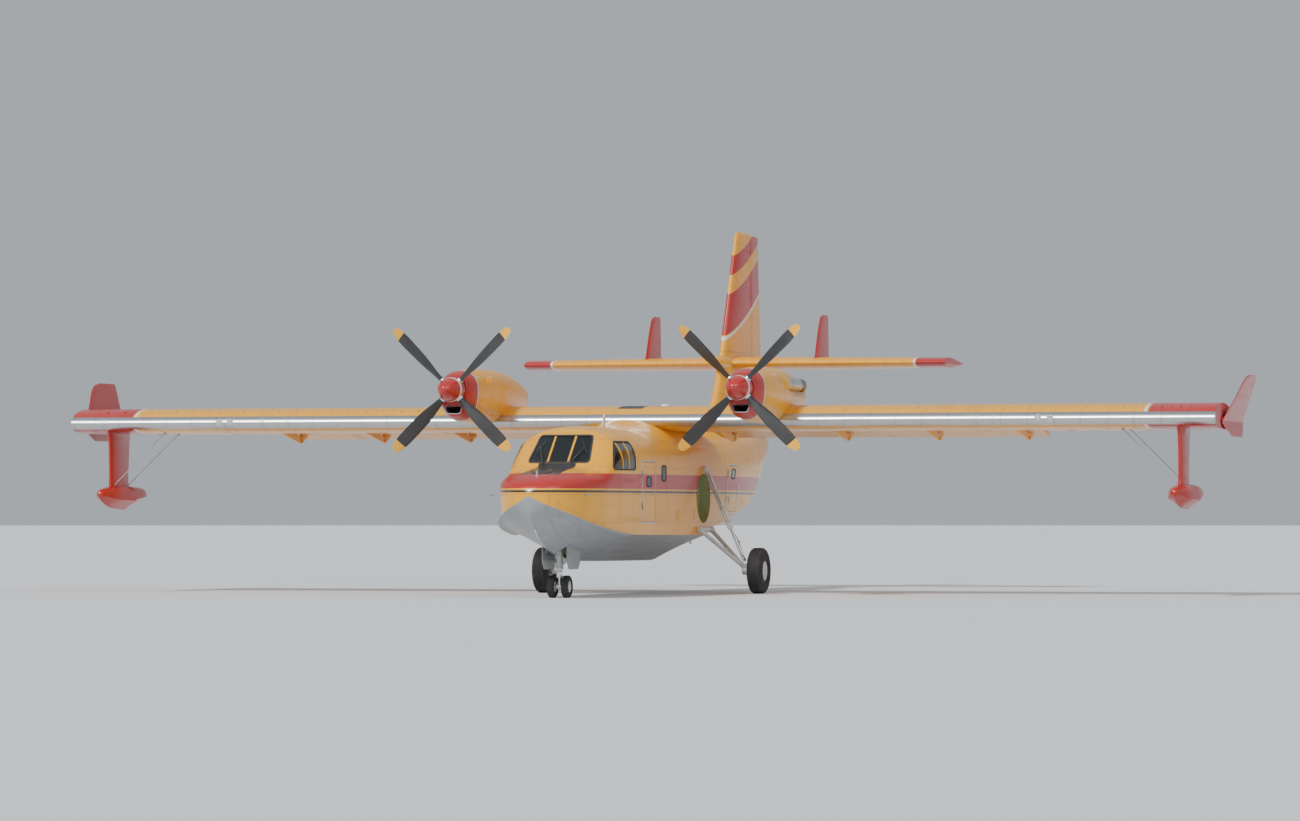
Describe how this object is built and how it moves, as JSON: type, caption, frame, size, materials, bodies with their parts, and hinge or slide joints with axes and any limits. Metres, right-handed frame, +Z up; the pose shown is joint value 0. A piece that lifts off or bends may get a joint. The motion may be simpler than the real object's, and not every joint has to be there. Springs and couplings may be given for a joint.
{
  "type": "amphibious flying boat",
  "caption": "High-wing amphibious flying boat with turboprop engines, stepped hull, wing floats, water drop doors and wheeled undercarriage.",
  "frame": {"origin": "on the ground below the middle of the length, in the plane of symmetry, with the aircraft on its wheels", "axes": "+X to the nose, +Y to port (left), +Z up"},
  "size_m": [19.82, 28.63, 8.98],
  "materials": {
    "yellow_skin": "gloss",
    "red_skin": "gloss",
    "glazing": "gloss",
    "bare_alloy": "satin",
    "gear_steel": "satin",
    "engine_metal": "satin",
    "propeller_metal": "satin",
    "tyre": "matte",
    "cabin_lining": "matte",
    "black_plastic": "matte"
  },
  "bodies": {
    "airframe": {"hull_bow": "yellow_skin", "hull_centre": "yellow_skin", "hull_aft": "yellow_skin", "tail_cone": "yellow_skin", "windscreen": "glazing", "side_window_left": "glazing", "side_window_right": "glazing", "water_tank": "bare_alloy", "cabin_floor": "cabin_lining", "instrument_panel": "black_plastic", "seat_left": "black_plastic", "seat_right": "black_plastic", "wing_centre": "yellow_skin", "wing_left": "yellow_skin", "wing_right": "yellow_skin", "winglet_left": "red_skin", "winglet_right": "red_skin", "float_left": "red_skin", "float_right": "red_skin", "float_pylon_left": "yellow_skin", "float_pylon_right": "yellow_skin", "nacelle_left": "yellow_skin", "nacelle_right": "yellow_skin", "engine_left": "engine_metal", "engine_right": "engine_metal", "fin": "yellow_skin", "tailplane_left": "yellow_skin", "tailplane_right": "yellow_skin", "finlet_left": "red_skin", "finlet_right": "red_skin", "main_leg_left": "gear_steel", "main_leg_right": "gear_steel", "main_strut_left": "gear_steel", "main_strut_right": "gear_steel", "nose_leg": "gear_steel", "nose_gear_door_left": "yellow_skin", "nose_gear_door_right": "yellow_skin"},
    "front_door": {"front_door": "yellow_skin"},
    "rear_door": {"rear_door": "yellow_skin"},
    "drop_door_front_left": {"drop_door_front_left": "red_skin"},
    "drop_door_front_right": {"drop_door_front_right": "red_skin"},
    "drop_door_rear_left": {"drop_door_rear_left": "red_skin"},
    "drop_door_rear_right": {"drop_door_rear_right": "red_skin"},
    "flap_left": {"flap_left": "yellow_skin"},
    "flap_right": {"flap_right": "yellow_skin"},
    "aileron_left": {"aileron_left": "yellow_skin"},
    "aileron_right": {"aileron_right": "yellow_skin"},
    "rudder": {"rudder": "red_skin"},
    "elevator_left": {"elevator_left": "yellow_skin"},
    "elevator_right": {"elevator_right": "yellow_skin"},
    "propeller_left": {"propeller_left": "propeller_metal"},
    "propeller_right": {"propeller_right": "propeller_metal"},
    "main_wheel_left": {"main_wheel_left": "bare_alloy", "main_tyre_left": "tyre"},
    "main_wheel_right": {"main_wheel_right": "bare_alloy", "main_tyre_right": "tyre"},
    "nose_fork": {"nose_fork": "gear_steel"},
    "nose_wheels": {"nose_wheels": "tyre"}
  },
  "joints": [
    {"name": "front_door_swing", "type": "hinge", "parent": "airframe", "child": "front_door", "pos_m": [5.46, 1.31, 2.4], "axis": [0, 0, -1], "range_deg": [0, 100]},
    {"name": "rear_door_swing", "type": "hinge", "parent": "airframe", "child": "rear_door", "pos_m": [-1.84, 1.289, 2.5], "axis": [0, 0, -1], "range_deg": [0, 100]},
    {"name": "drop_door_front_left_swing", "type": "hinge", "parent": "airframe", "child": "drop_door_front_left", "pos_m": [2.68, 0.882, 1.186], "axis": [1, 0, 0], "range_deg": [0, 65]},
    {"name": "drop_door_front_right_swing", "type": "hinge", "parent": "airframe", "child": "drop_door_front_right", "pos_m": [2.68, -0.882, 1.186], "axis": [-1, 0, 0], "range_deg": [0, 65]},
    {"name": "drop_door_rear_left_swing", "type": "hinge", "parent": "airframe", "child": "drop_door_rear_left", "pos_m": [1.05, 0.882, 1.186], "axis": [1, 0, 0], "range_deg": [0, 65]},
    {"name": "drop_door_rear_right_swing", "type": "hinge", "parent": "airframe", "child": "drop_door_rear_right", "pos_m": [1.05, -0.882, 1.186], "axis": [-1, 0, 0], "range_deg": [0, 65]},
    {"name": "flap_left_swing", "type": "hinge", "parent": "airframe", "child": "flap_left", "pos_m": [-0.116, 5.4, 3.657], "axis": [0, -1, 0], "range_deg": [-10, 15]},
    {"name": "flap_right_swing", "type": "hinge", "parent": "airframe", "child": "flap_right", "pos_m": [-0.116, -5.4, 3.657], "axis": [0, -1, 0], "range_deg": [-10, 15]},
    {"name": "aileron_left_swing", "type": "hinge", "parent": "airframe", "child": "aileron_left", "pos_m": [-0.1353, 11.59, 3.9727], "axis": [0, -1, 0], "range_deg": [-20, 20]},
    {"name": "aileron_right_swing", "type": "hinge", "parent": "airframe", "child": "aileron_right", "pos_m": [-0.1353, -11.59, 3.9727], "axis": [0, -1, 0], "range_deg": [-20, 20]},
    {"name": "rudder_swing", "type": "hinge", "parent": "airframe", "child": "rudder", "pos_m": [-8.14, 0, 6.5], "axis": [0, 0, 1], "range_deg": [-25, 25]},
    {"name": "elevator_left_swing", "type": "hinge", "parent": "airframe", "child": "elevator_left", "pos_m": [-8.04, 2.945, 5.65], "axis": [0, -1, 0], "range_deg": [-25, 15]},
    {"name": "elevator_right_swing", "type": "hinge", "parent": "airframe", "child": "elevator_right", "pos_m": [-8.04, -2.945, 5.65], "axis": [0, -1, 0], "range_deg": [-25, 15]},
    {"name": "propeller_left_spin", "type": "hinge", "parent": "airframe", "child": "propeller_left", "pos_m": [5, 3.45, 4.755], "axis": [1, 0, 0], "continuous": true},
    {"name": "propeller_right_spin", "type": "hinge", "parent": "airframe", "child": "propeller_right", "pos_m": [5, -3.45, 4.755], "axis": [1, 0, 0], "continuous": true},
    {"name": "main_wheel_left_roll", "type": "hinge", "parent": "airframe", "child": "main_wheel_left", "pos_m": [0.43, 2.655, 0.54034], "axis": [0, 1, 0], "continuous": true},
    {"name": "main_wheel_right_roll", "type": "hinge", "parent": "airframe", "child": "main_wheel_right", "pos_m": [0.43, -2.655, 0.54034], "axis": [0, 1, 0], "continuous": true},
    {"name": "nose_steering", "type": "hinge", "parent": "airframe", "child": "nose_fork", "pos_m": [7.61, 0, 0.7], "axis": [0, 0, 1], "range_deg": [-45, 45]},
    {"name": "nose_wheels_roll", "type": "hinge", "parent": "nose_fork", "child": "nose_wheels", "pos_m": [7.61, 0, 0.25186], "axis": [0, 1, 0], "continuous": true}
  ],
  "couplings": [
    {"joint": "flap_right_swing", "follows": "flap_left_swing", "ratio": 1},
    {"joint": "aileron_right_swing", "follows": "aileron_left_swing", "ratio": -1},
    {"joint": "elevator_right_swing", "follows": "elevator_left_swing", "ratio": 1}
  ]
}
